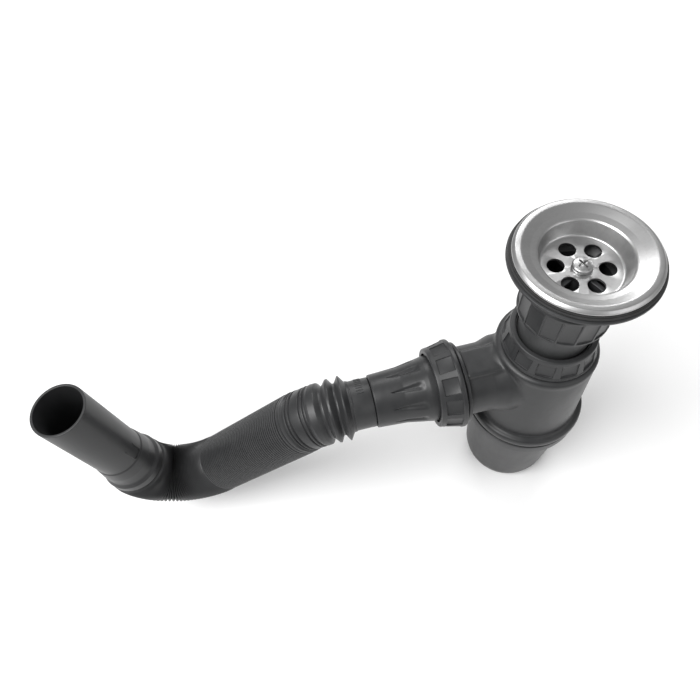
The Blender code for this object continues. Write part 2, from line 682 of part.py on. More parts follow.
def hose_spigot():
    bore = SPIGOT_RADIUS - SPIGOT_WALL
    collar = SPIGOT_RADIUS + SPIGOT_COLLAR_STEP
    lip = HOSE_RADIUS - SPIGOT_LIP_STEP
    spigot = turned("hose_spigot", [
        (SPIGOT_RADIUS, spigot_length), (SPIGOT_RADIUS, SPIGOT_COLLAR + 1),
        (collar - 0.8, SPIGOT_COLLAR), (collar, SPIGOT_COLLAR - 1.2), (collar, SPIGOT_LIP + 0.7),
        (lip, SPIGOT_LIP), (lip, 0), (hose_bore, 0), (hose_bore, SPIGOT_LIP - 3),
        (bore, SPIGOT_LIP + 3), (bore, spigot_length),
    ], parts, CHARCOAL, 0.0, 0.5)
    spigot.location = (corner + SPIGOT_DIRECTION * (BEND_OUT + RUNNING_GAP)) * MM
    spigot.rotation_mode = "QUATERNION"
    spigot.rotation_quaternion = SPIGOT_DIRECTION.to_track_quat("Z", "Y")


clear_scene()
parts = new_collection("p_trap")
cutters = new_collection("cutters")
cutters.hide_render = True
strainer_plate()
strainer_screw()
gaskets()
waste_body()
union_joint()
bottle_joint()
bottle_body()
cup()
outlet_joint()
hose_cuff()
hose()
hose_spigot()
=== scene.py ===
import json
import math

import bmesh
import bpy
from mathutils import Matrix, Vector


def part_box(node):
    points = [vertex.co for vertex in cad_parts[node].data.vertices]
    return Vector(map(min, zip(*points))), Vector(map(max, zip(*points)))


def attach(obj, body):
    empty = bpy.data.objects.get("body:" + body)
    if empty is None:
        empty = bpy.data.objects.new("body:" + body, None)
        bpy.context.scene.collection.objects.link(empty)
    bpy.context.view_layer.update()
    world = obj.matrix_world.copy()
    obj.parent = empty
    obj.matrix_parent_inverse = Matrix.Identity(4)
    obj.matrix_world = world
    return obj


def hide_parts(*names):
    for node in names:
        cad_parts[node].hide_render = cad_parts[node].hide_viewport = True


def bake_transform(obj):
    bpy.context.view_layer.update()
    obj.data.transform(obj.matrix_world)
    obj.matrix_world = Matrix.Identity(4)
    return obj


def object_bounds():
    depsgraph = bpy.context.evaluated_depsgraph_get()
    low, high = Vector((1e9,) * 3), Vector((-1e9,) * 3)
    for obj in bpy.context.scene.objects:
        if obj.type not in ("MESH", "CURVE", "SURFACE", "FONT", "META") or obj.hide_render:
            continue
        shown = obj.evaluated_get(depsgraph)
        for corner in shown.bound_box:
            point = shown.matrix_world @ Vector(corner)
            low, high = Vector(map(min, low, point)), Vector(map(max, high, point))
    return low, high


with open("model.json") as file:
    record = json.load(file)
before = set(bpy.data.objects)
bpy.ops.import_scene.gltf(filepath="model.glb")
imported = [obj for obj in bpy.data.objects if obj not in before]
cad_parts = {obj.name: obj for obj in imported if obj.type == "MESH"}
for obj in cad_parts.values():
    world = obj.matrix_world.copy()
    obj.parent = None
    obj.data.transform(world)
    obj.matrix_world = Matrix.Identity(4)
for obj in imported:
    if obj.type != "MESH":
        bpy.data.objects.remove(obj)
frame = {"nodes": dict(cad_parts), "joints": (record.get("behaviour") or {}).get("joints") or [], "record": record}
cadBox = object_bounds()
print("frame loaded with", len(frame["nodes"]), "nodes")

mm = 0.001
record = frame["record"]
joints = {joint["name"]: joint for joint in frame["joints"]}
mounts = {mount["name"]: mount for mount in record["mounts"]}

outletHeight = joints["hose_tilt"]["pos_m"][2] / mm     # the branch's axis, in millimetres
runDirection = Vector(joints["hose_stretch"]["axis"]).normalized()
spigotDirection = Vector(mounts["spigot_end"]["axis"]).normalized()


def edges(node):
    low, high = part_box(node)
    return Vector(low) / mm, Vector(high) / mm


def clearSelection():
    if bpy.context.object and bpy.context.object.mode != "OBJECT":
        bpy.ops.object.mode_set(mode="OBJECT")
    bpy.ops.object.select_all(action="DESELECT")


def pick(piece):
    clearSelection()
    piece.select_set(True)
    bpy.context.view_layer.objects.active = piece


def applyAll(piece):
    pick(piece)
    for modifier in list(piece.modifiers):
        bpy.ops.object.modifier_apply(modifier=modifier.name)
    return piece


def settle(piece):
    pick(piece)
    bpy.ops.object.transform_apply(location=True, rotation=True, scale=True)
    return piece


def roundCorners(outline, steps=4):
    # a point with a third value is a corner rounded to that radius
    points = []
    count = len(outline)
    for i, spot in enumerate(outline):
        here = Vector(spot[:2])
        if len(spot) < 3:
            points.append(here)
            continue
        before = Vector(outline[i - 1][:2]) - here
        after = Vector(outline[(i + 1) % count][:2]) - here
        half = before.angle(after) / 2
        reach = min(spot[2] / math.tan(half), before.length * 0.48, after.length * 0.48)
        first = here + before.normalized() * reach
        last = here + after.normalized() * reach
        for k in range(steps + 1):
            t = k / steps
            points.append(first * (1 - t) ** 2 + here * 2 * t * (1 - t) + last * t ** 2)
    return points


def lathe(name, outline, segments=128, ring=True):
    # the outline is (radius, height) in millimetres; ring closes it on itself
    points = roundCorners(outline)
    clearSelection()
    bpy.ops.mesh.primitive_plane_add(size=mm)
    piece = bpy.context.object
    piece.name = name
    piece.data.name = name
    bpy.ops.object.mode_set(mode="EDIT")
    bpy.ops.mesh.select_all(action="SELECT")
    bpy.ops.mesh.merge(type="CENTER")
    bpy.ops.transform.translate(value=(points[0].x * mm, 0, points[0].y * mm))
    for here, there in zip(points, points[1:]):
        move = (there - here) * mm
        bpy.ops.mesh.extrude_region_move(TRANSFORM_OT_translate={"value": (move.x, 0, move.y)})
    if ring:
        work = bmesh.from_edit_mesh(piece.data)
        work.verts.ensure_lookup_table()
        loose = [vert for vert in work.verts if len(vert.link_edges) < 2]
        for vert in work.verts:
            vert.select = vert in loose
        bmesh.update_edit_mesh(piece.data)
        bpy.ops.mesh.edge_face_add()
    bpy.ops.mesh.select_all(action="SELECT")
    bpy.ops.mesh.spin(steps=segments, angle=2 * math.pi, center=(0, 0, 0), axis=(0, 0, 1))
    bpy.ops.mesh.select_all(action="SELECT")
    bpy.ops.mesh.remove_doubles(threshold=0.000002)
    bpy.ops.mesh.normals_make_consistent(inside=False)
    bpy.ops.object.mode_set(mode="OBJECT")
    return piece


def layOnOutlet(piece, along=0.0):
    # height becomes distance from the bottle's axis, towards -X
    piece.matrix_world = (Matrix.Translation((-along * mm, 0, outletHeight * mm))
                          @ Matrix.Rotation(math.radians(-90), 4, "Y"))
    return settle(piece)


def boxAt(place, size, bevel=0.0):
    clearSelection()
    bpy.ops.mesh.primitive_cube_add(size=1)
    block = bpy.context.object
    block.matrix_world = place @ Matrix.Diagonal((*(Vector(size) * mm), 1))
    settle(block)
    if bevel:
        rim = block.modifiers.new("rim", "BEVEL")
        rim.width = bevel * mm
        rim.segments = 3
        rim.limit_method = "NONE"
        applyAll(block)
    return block


def joinAll(blocks, name):
    clearSelection()
    for block in blocks:
        block.select_set(True)
    bpy.context.view_layer.objects.active = blocks[0]
    if len(blocks) > 1:
        bpy.ops.object.join()
    joined = bpy.context.object
    joined.name = name
    return joined


def carve(piece, tool, operation="DIFFERENCE", solver="EXACT"):
    cut = piece.modifiers.new("cut", "BOOLEAN")
    cut.operation = operation
    cut.object = tool
    cut.solver = solver
    applyAll(piece)
    bpy.data.objects.remove(tool, do_unlink=True)
    return piece


def softenEdges(piece, width=0.25, angle=32):
    rim = piece.modifiers.new("rim", "BEVEL")
    rim.width = width * mm
    rim.segments = 2
    rim.limit_method = "ANGLE"
    rim.angle_limit = math.radians(angle)
    rim.use_clamp_overlap = True
    return applyAll(piece)


def shade(piece, angle=38):
    pick(piece)
    bpy.ops.object.shade_smooth_by_angle(angle=math.radians(angle))
    return piece


def finish(piece, material, body, nodes=(), angle=38):
    piece.data.materials.clear()
    piece.data.materials.append(material)
    shade(piece, angle)
    if body:
        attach(piece, body)
    if nodes:
        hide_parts(*nodes)
    return piece


def ringPlaces(count, radius, height, tilt=0.0, start=0.0):
    places = []
    for i in range(count):
        turn = Matrix.Rotation(start + 2 * math.pi * i / count, 4, "Z")
        place = turn @ Matrix.Translation((radius * mm, 0, height * mm))
        places.append(place @ Matrix.Rotation(tilt, 4, "Y"))
    return places


def newMaterial(name):
    material = bpy.data.materials.new(name)
    material.use_nodes = True
    return material, material.node_tree, material.node_tree.nodes["Principled BSDF"]


def addNode(tree, kind, **values):
    node = tree.nodes.new(kind)
    for key, value in values.items():
        if key in node.inputs:
            node.inputs[key].default_value = value
        else:
            setattr(node, key, value)
    return node


def objectPoints(tree, scale):
    place = addNode(tree, "ShaderNodeTexCoord")
    mapping = addNode(tree, "ShaderNodeMapping")
    mapping.inputs["Scale"].default_value = scale
    tree.links.new(place.outputs["Object"], mapping.inputs["Vector"])
    return mapping.outputs["Vector"]


def noiseOf(tree, vector, scale, detail=4.0, roughness=0.55):
    noise = addNode(tree, "ShaderNodeTexNoise", Scale=scale, Detail=detail, Roughness=roughness)
    tree.links.new(vector, noise.inputs["Vector"])
    return noise.outputs["Fac"]


def ramp(tree, value, low, high, lowAt=0.3, highAt=0.7):
    node = tree.nodes.new("ShaderNodeValToRGB")
    node.color_ramp.elements[0].position = lowAt
    node.color_ramp.elements[1].position = highAt
    node.color_ramp.elements[0].color = low
    node.color_ramp.elements[1].color = high
    tree.links.new(value, node.inputs["Fac"])
    return node.outputs["Color"]


def grey(value):
    return (value, value, value, 1)


def bumpOf(tree, height, distance, strength=1.0, normal=None):
    node = addNode(tree, "ShaderNodeBump", Strength=strength, Distance=distance)
    tree.links.new(height, node.inputs["Height"])
    if normal:
        tree.links.new(normal, node.inputs["Normal"])
    return node.outputs["Normal"]


mouldedPlastic = {
    "colour": (0.020, 0.0205, 0.0215), "pale": (0.031, 0.0315, 0.0325), "gloss": 0.34, "dull": 0.50,
    "grain": 2600, "grainDepth": 0.00002, "patch": 26,
}
hosePlastic = {
    "colour": (0.022, 0.0225, 0.0235), "pale": (0.033, 0.0335, 0.0345), "gloss": 0.34, "dull": 0.5,
    "grain": 1900, "grainDepth": 0.000015, "patch": 34,
}
tubePlastic = {
    "colour": (0.040, 0.041, 0.042), "pale": (0.055, 0.056, 0.057), "gloss": 0.38, "dull": 0.5,
    "grain": 2200, "grainDepth": 0.000015, "patch": 30,
}


def plasticMaterial(name, look):
    material, tree, shader = newMaterial(name)
    points = objectPoints(tree, (1, 1, 1))
    patches = noiseOf(tree, points, look["patch"], detail=5)
    flow = noiseOf(tree, objectPoints(tree, (1, 1, 0.25)), look["patch"] * 6, detail=3)
    both = addNode(tree, "ShaderNodeMix", data_type="FLOAT")
    both.inputs[0].default_value = 0.35
    tree.links.new(patches, both.inputs[2])
    tree.links.new(flow, both.inputs[3])
    tint = ramp(tree, both.outputs[0], (*look["colour"], 1), (*look["pale"], 1), 0.35, 0.68)
    tree.links.new(tint, shader.inputs["Base Color"])
    dullness = ramp(tree, both.outputs[0], grey(look["gloss"]), grey(look["dull"]), 0.3, 0.7)
    tree.links.new(dullness, shader.inputs["Roughness"])
    fine = noiseOf(tree, points, look["grain"], detail=2)
    wavy = noiseOf(tree, points, 160, detail=2)
    firstBump = bumpOf(tree, wavy, 0.00006, 0.6)
    tree.links.new(bumpOf(tree, fine, look["grainDepth"], 0.7, firstBump), shader.inputs["Normal"])
    shader.inputs["Specular IOR Level"].default_value = 0.42
    return material


def rubberMaterial():
    material, tree, shader = newMaterial("blackRubber")
    points = objectPoints(tree, (1, 1, 1))
    patches = noiseOf(tree, points, 90, detail=5)
    tree.links.new(ramp(tree, patches, grey(0.010), grey(0.026)), shader.inputs["Base Color"])
    tree.links.new(ramp(tree, patches, grey(0.62), grey(0.82)), shader.inputs["Roughness"])
    fine = noiseOf(tree, points, 3000, detail=2)
    tree.links.new(bumpOf(tree, fine, 0.00003, 0.8), shader.inputs["Normal"])
    return material


def steelMaterial():
    # fine turned lines round the axis, with softer smears across them
    material, tree, shader = newMaterial("brushedSteel")
    place = addNode(tree, "ShaderNodeTexCoord")
    split = addNode(tree, "ShaderNodeSeparateXYZ")
    tree.links.new(place.outputs["Object"], split.inputs[0])
    flat = addNode(tree, "ShaderNodeCombineXYZ")
    tree.links.new(split.outputs["X"], flat.inputs["X"])
    tree.links.new(split.outputs["Y"], flat.inputs["Y"])
    radius = addNode(tree, "ShaderNodeVectorMath", operation="LENGTH")
    tree.links.new(flat.outputs[0], radius.inputs[0])
    around = addNode(tree, "ShaderNodeMath", operation="ARCTAN2")
    tree.links.new(split.outputs["Y"], around.inputs[0])
    tree.links.new(split.outputs["X"], around.inputs[1])
    lane = addNode(tree, "ShaderNodeMath", operation="MULTIPLY")
    lane.inputs[1].default_value = 0.004
    tree.links.new(around.outputs[0], lane.inputs[0])
    lines = addNode(tree, "ShaderNodeCombineXYZ")
    tree.links.new(radius.outputs["Value"], lines.inputs["X"])
    tree.links.new(lane.outputs[0], lines.inputs["Y"])
    tree.links.new(split.outputs["Z"], lines.inputs["Z"])
    turned = noiseOf(tree, lines.outputs[0], 2400, detail=3)
    smears = noiseOf(tree, objectPoints(tree, (1, 2.4, 1)), 42, detail=6, roughness=0.62)
    specks = noiseOf(tree, objectPoints(tree, (1, 1, 1)), 700, detail=4, roughness=0.7)
    blend = addNode(tree, "ShaderNodeMix", data_type="FLOAT")
    blend.inputs[0].default_value = 0.22
    tree.links.new(smears, blend.inputs[2])
    tree.links.new(specks, blend.inputs[3])
    tint = ramp(tree, blend.outputs[0], grey(0.40), grey(0.56), 0.34, 0.66)
    tree.links.new(tint, shader.inputs["Base Color"])
    dullness = ramp(tree, blend.outputs[0], grey(0.42), grey(0.30), 0.34, 0.66)
    tree.links.new(dullness, shader.inputs["Roughness"])
    firstBump = bumpOf(tree, turned, 0.00002, 0.5)
    tree.links.new(bumpOf(tree, specks, 0.00002, 0.35, firstBump), shader.inputs["Normal"])
    shader.inputs["Metallic"].default_value = 1.0
    return material


def plainMetal(name, dark, light, rough):
    material, tree, shader = newMaterial(name)
    points = objectPoints(tree, (1, 1, 1))
    wear = noiseOf(tree, points, 520, detail=6, roughness=0.65)
    tree.links.new(ramp(tree, wear, dark, light), shader.inputs["Base Color"])
    tree.links.new(ramp(tree, wear, grey(rough), grey(rough + 0.18)), shader.inputs["Roughness"])
    scratches = noiseOf(tree, objectPoints(tree, (1, 7, 1)), 900, detail=3)
    tree.links.new(bumpOf(tree, scratches, 0.00004, 0.5), shader.inputs["Normal"])
    shader.inputs["Metallic"].default_value = 1.0
    return material


charcoal = plasticMaterial("mouldedCharcoal", mouldedPlastic)
hoseGrey = plasticMaterial("hoseCharcoal", hosePlastic)
tubeGrey = plasticMaterial("innerTubeGrey", tubePlastic)
rubber = rubberMaterial()
steel = steelMaterial()
screwMetal = plainMetal("screwSteel", grey(0.30), grey(0.52), 0.3)
brass = plainMetal("turnedBrass", (0.50, 0.34, 0.13, 1), (0.70, 0.52, 0.24, 1), 0.3)
print("materials made")


strainer = {
    "sheet": 1.2, "wellRadius": 22.3, "floorRadius": 20.3, "dish": 2.8, "holes": 6,
    "holeRadius": 4.3, "holeCircle": 12.2, "holeStart": math.radians(-20), "screwHole": 3.4,
}


def makeStrainer():
    low, high = edges("strainer_plate")
    sheet = strainer["sheet"]
    top, foot, rim = high.z, low.z, high.x
    outerWall = strainer["wellRadius"] + sheet
    lip = top - strainer["dish"]
    piece = lathe("strainerPlate", [
        (strainer["wellRadius"], lip - 0.6, 1.3), (strainer["wellRadius"] + 1.0, lip, 0.7),
        (strainer["wellRadius"] + 4, lip + 0.9, 3.0), (rim - 4.2, top, 3.0), (rim - 1.6, top, 1.2),
        (rim - 0.2, top - 1.2, 0.8), (rim, 0.3, 0.3), (rim - 0.6, 0, 0.3), (rim - 1.2, 0.1, 0.3),
        (rim - 2.2, top - sheet, 1.0), (rim - 4.2, top - sheet - 0.1, 2.0),
        (strainer["wellRadius"] + 4.4, lip - sheet + 0.8, 2.0), (outerWall + 0.3, lip - sheet, 0.6),
        (outerWall, lip - sheet - 0.8, 0.6),
        (outerWall - 0.6, foot + 2.4, 1.0), (strainer["floorRadius"] + 0.2, foot, 1.2),
        (strainer["screwHole"], foot), (strainer["screwHole"], foot + sheet, 0.3),
        (8.0, foot + sheet), (strainer["floorRadius"] - 0.2, foot + sheet, 1.4),
    ], segments=192)
    tools = []
    holePlaces = ringPlaces(strainer["holes"], strainer["holeCircle"], foot, start=strainer["holeStart"])
    for place in holePlaces:
        clearSelection()
        bpy.ops.mesh.primitive_cylinder_add(vertices=64, radius=strainer["holeRadius"] * mm,
                                            depth=8 * mm)
        tool = bpy.context.object
        tool.matrix_world = place
        tools.append(settle(tool))
    carve(piece, joinAll(tools, "holeTools"))
    softenEdges(piece, 0.22, 50)
    finish(piece, steel, "strainer", ["strainer_plate"])


screw = {
    "headRadius": 5.2, "headHeight": 3.0, "shankRadius": 2.9, "pitch": 1.0, "threadDepth": 0.45,
    "slotWidth": 1.0, "slotDepth": 1.5, "slotTurn": 20,
}


def makeScrew():
    low, high = edges("strainer_screw")
    seat = high.z - screw["headHeight"]
    radius, shank = screw["headRadius"], screw["shankRadius"]
    outline = [(0, high.z), (radius * 0.45, high.z - 0.05), (radius - 0.1, high.z - 0.9, 1.2),
               (radius, seat + 0.05, 0.25), (shank, seat, 0.2)]
    height = seat - 1.5
    while height > low.z + 2:
        outline += [(shank, height), (shank - screw["threadDepth"], height - screw["pitch"] * 0.5)]
        height -= screw["pitch"]
    outline += [(shank - 0.8, low.z, 0.3), (0, low.z)]
    piece = lathe("strainerScrew", outline, segments=64, ring=False)
    for angle in (screw["slotTurn"], screw["slotTurn"] + 90):
        place = Matrix.Translation((0, 0, high.z * mm)) @ Matrix.Rotation(math.radians(angle), 4, "Z")
        size = (radius * 1.12, screw["slotWidth"], 2 * screw["slotDepth"])
        carve(piece, boxAt(place, size, 0.12))
    softenEdges(piece, 0.12, 50)
    finish(piece, screwMetal, "screw", ["strainer_screw"])


gaskets = {"strainerBore": 30.5, "strainerBulge": 0.3, "sinkBore": 28.7, "sinkBulge": 0.5}


def makeGasket(name, node, body, bore, bulge):
    low, high = edges(node)
    outer = high.x
    piece = lathe(name, [
        (outer, high.z, bulge), (outer, low.z, bulge), (bore, low.z, 0.2), (bore, high.z, 0.2),
    ], segments=160)
    finish(piece, rubber, body, [node])


waste = {
    "flange": 3.0, "bowlBore": 24.2, "bowlOuter": 27.1, "tailRadius": 21.5, "tailBore": 18.6,
    "boss": 6.6, "bossHeight": 14.0, "bossBore": 4.3, "ribs": (25, 115), "ribWidth": 2.4,
    "threadPitch": 2.6, "threadDepth": 0.9,
}


def makeWaste():
    low, high = edges("waste_body")
    top, rim = high.z, high.x
    under = top - waste["flange"]
    bowlFoot = under - 9.8
    bowl, bowlBore = waste["bowlOuter"], waste["bowlBore"]
    tail, tailBore = waste["tailRadius"], waste["tailBore"]
    thread = tail - waste["threadDepth"]
    tailTop = bowlFoot - (bowl - tail)
    outline = [
        (rim - 1.4, top, 0.2), (rim - 1.3, top - 0.35), (rim, top - 0.7, 0.4), (rim, under + 0.9, 0.5),
        (rim - 1.6, under, 0.6), (rim - 4.6, under - 0.1), (bowl + 1.2, under - 0.9, 0.9),
        (bowl, bowlFoot, 1.2), (tail, tailTop, 0.8),
    ]
    height = tailTop - 3
    while height > low.z + 2.5:
        outline += [(tail, height), (thread, height - 0.7), (thread, height - 1.4), (tail, height - 2.0)]
        height -= waste["threadPitch"]
    outline += [
        (tail - 0.2, low.z, 0.4), (tailBore, low.z, 0.3), (tailBore, tailTop + 1),
        (bowlBore, bowlFoot + 1, 1.0), (bowlBore, top, 0.3),
    ]
    piece = lathe("wasteBody", outline, segments=144)
    bossTop = edges("screw_insert")[1].z + 1
    bossFoot = bossTop - waste["bossHeight"]
    boss = lathe("boss", [
        (0, bossTop), (waste["boss"], bossTop, 0.5), (waste["boss"] - 0.7, bossFoot, 0.5), (0, bossFoot),
    ], segments=48, ring=False)
    for angle in waste["ribs"]:
        turn = Matrix.Rotation(math.radians(angle), 4, "Z")
        place = Matrix.Translation((0, 0, (bossTop - 3) * mm)) @ turn
        rib = boxAt(place, (2 * bowlBore + 2, waste["ribWidth"], 4.0), 0.3)
        carve(piece, rib, "UNION")
    carve(piece, boss, "UNION")
    bore = lathe("bore", [
        (0, bossTop + 3), (waste["bossBore"], bossTop + 3), (waste["bossBore"], bossTop - 18),
        (0, bossTop - 18),
    ], segments=40, ring=False)
    carve(piece, bore)
    finish(piece, charcoal, "sink_waste", ["waste_body"])


insert = {"bore": 3.06}


def makeInsert():
    low, high = edges("screw_insert")
    outer, bore = high.x, insert["bore"]
    piece = lathe("screwInsert", [
        (outer, high.z, 0.3), (outer, low.z, 0.3), (bore, low.z, 0.2), (bore, high.z, 0.2),
    ], segments=48)
    finish(piece, brass, "sink_waste", ["screw_insert"])


unionNut = {
    "bore": 21.95, "lip": 3.2, "lipBore": 20.45, "panels": 16, "gap": 1.1, "depth": 0.9, "margin": 2.4,
}


def makeUnionNut():
    low, high = edges("union_nut")
    outer = high.x
    piece = lathe("unionNut", [
        (outer - 0.9, high.z, 0.4), (outer, high.z - 1.0, 0.5), (outer, low.z + 0.9, 0.6),
        (outer - 0.9, low.z, 0.4), (unionNut["lipBore"], low.z, 0.4),
        (unionNut["lipBore"], low.z + unionNut["lip"], 0.2), (unionNut["bore"], low.z + unionNut["lip"]),
        (unionNut["bore"], high.z, 0.4),
    ], segments=192)
    count = unionNut["panels"]
    width = 2 * math.pi * outer / count - unionNut["gap"]
    tall = high.z - low.z - 2 * unionNut["margin"]
    tools = [boxAt(place, (4, width, tall), 0.35)
             for place in ringPlaces(count, outer + 2 - unionNut["depth"], (high.z + low.z) / 2)]
    carve(piece, joinAll(tools, "panelTools"))
    softenEdges(piece, 0.18, 40)
    finish(piece, charcoal, "union_collar", ["union_nut"])


inletTube = {"radius": 20.0, "wall": 1.6, "flange": 2.8}


def makeTube():
    low, high = edges("inlet_tube")
    outer, flange, flangeFoot = inletTube["radius"], high.x, high.z - inletTube["flange"]
    bore = outer - inletTube["wall"]
    piece = lathe("inletTube", [
        (flange, high.z, 0.4), (flange, flangeFoot, 0.3), (outer, flangeFoot - 0.1, 0.4),
        (outer, low.z + 1.2), (outer - 0.6, low.z, 0.3), (bore, low.z, 0.3), (bore, high.z, 0.3),
    ], segments=128)
    finish(piece, tubeGrey, "sink_waste", ["inlet_tube"])


def makeSeal(name, node, body, inner, along=False):
    # a plain sealing ring with rounded edges, upright or on the outlet
    low, high = edges(node)
    if along:
        start, end, outer = -high.x, -low.x, high.y
    else:
        start, end, outer = low.z, high.z, high.x
    soft = min(0.5, (end - start) * 0.3)
    piece = lathe(name, [
        (outer, end, soft), (outer, start, soft), (inner, start, soft), (inner, end, soft),
    ], segments=96)
    if along:
        layOnOutlet(piece)
    finish(piece, rubber, body, [node])


nut = {
    "small": 24.3, "big": 27.3, "bore": 23.95, "sealBore": 22.6, "lip": 1.8, "lipBore": 21.4,
    "neck": 6.8, "panels": 12, "panelShare": 0.70, "panelHeight": 0.62, "depth": 1.2,
}


def makeNut(name, node, body, along=False):
    low, high = edges(node)
    height = (high.x - low.x) if along else (high.z - low.z)
    small, big = nut["small"], nut["big"]
    piece = lathe(name, [
        (small, 0, 0.9), (small + 0.35, -2.2, 0.3), (big - 0.4, -height + 2.6, 0.4),
        (big, -height + 2.2, 0.3), (big, -height, 0.7), (nut["bore"], -height, 0.5),
        (nut["bore"], -nut["neck"] - 0.2), (nut["sealBore"], -nut["neck"] + 0.6),
        (nut["sealBore"], -nut["lip"]),
        (nut["lipBore"], -nut["lip"], 0.3), (nut["lipBore"], 0, 0.5),
    ], segments=192)
    slope = math.atan2(big - small - 0.7, height - 4.6)
    middle = (small + 0.35 + big - 0.4) / 2
    width = 2 * math.pi * middle / nut["panels"] * nut["panelShare"]
    size = (4, width, height * nut["panelHeight"])
    panelPlaces = ringPlaces(nut["panels"], middle + 2 - nut["depth"], -height / 2 + 0.2, tilt=-slope)
    tools = [boxAt(place, size, 0.3) for place in panelPlaces]
    carve(piece, joinAll(tools, "panelTools"))
    softenEdges(piece, 0.2, 40)
    if along:
        layOnOutlet(piece, -low.x)
    else:
        piece.location.z = high.z * mm
        settle(piece)
    finish(piece, charcoal, body, [node])


slipSeals = {"ringBore": 20.35, "coneMouth": 21.0, "coneBore": 20.25}


def makeRing(name, node, body, along=False):
    low, high = edges(node)
    start, end = (-high.x, -low.x) if along else (low.z, high.z)
    outer, bore = high.y, slipSeals["ringBore"]
    piece = lathe(name, [
        (outer, end, 0.3), (outer, start, 0.3), (bore, start, 0.3), (bore, end, 0.3),
    ], segments=96)
    if along:
        layOnOutlet(piece)
    finish(piece, charcoal, body, [node])


def makeConeSeal(name, node, body, along=False):
    low, high = edges(node)
    start, end = (-high.x, -low.x) if along else (low.z, high.z)
    outer, mouth, bore = high.y, slipSeals["coneMouth"], slipSeals["coneBore"]
    piece = lathe(name, [
        (outer, end, 0.4), (outer, end - 2.7, 0.3), (mouth, start + 1.0, 0.3), (mouth, start, 0.3),
        (bore, start, 0.2), (bore, end, 0.3),
    ], segments=96)
    if along:
        layOnOutlet(piece)
    finish(piece, rubber, body, [node])


bottle = {
    "neck": 23.5, "neckBore": 21.3, "shoulder": 29.8, "foot": 33.3, "bead": 37.8, "beadHeight": 7.4,
    "skirt": 33.2, "skirtBore": 30.6, "skirtLength": 9.0, "branch": 21.2, "branchBore": 18.4,
    "socket": 20.4, "collar": 24.6, "collarBack": 12.0, "collarWidth": 2.6, "saddleWidth": 19.0,
    "voxel": 0.75, "smooth": 10, "neckPitch": 2.4, "neckThread": 0.5, "skirtPitch": 3.0,
    "skirtThread": 0.6,
}


def threadOutline(outline, radius, top, foot, pitch, depth):
    height = top
    while height - pitch > foot:
        outline += [(radius - depth, height), (radius, height - pitch * 0.35),
                    (radius, height - pitch * 0.5), (radius - depth, height - pitch * 0.8)]
        height -= pitch
    return outline


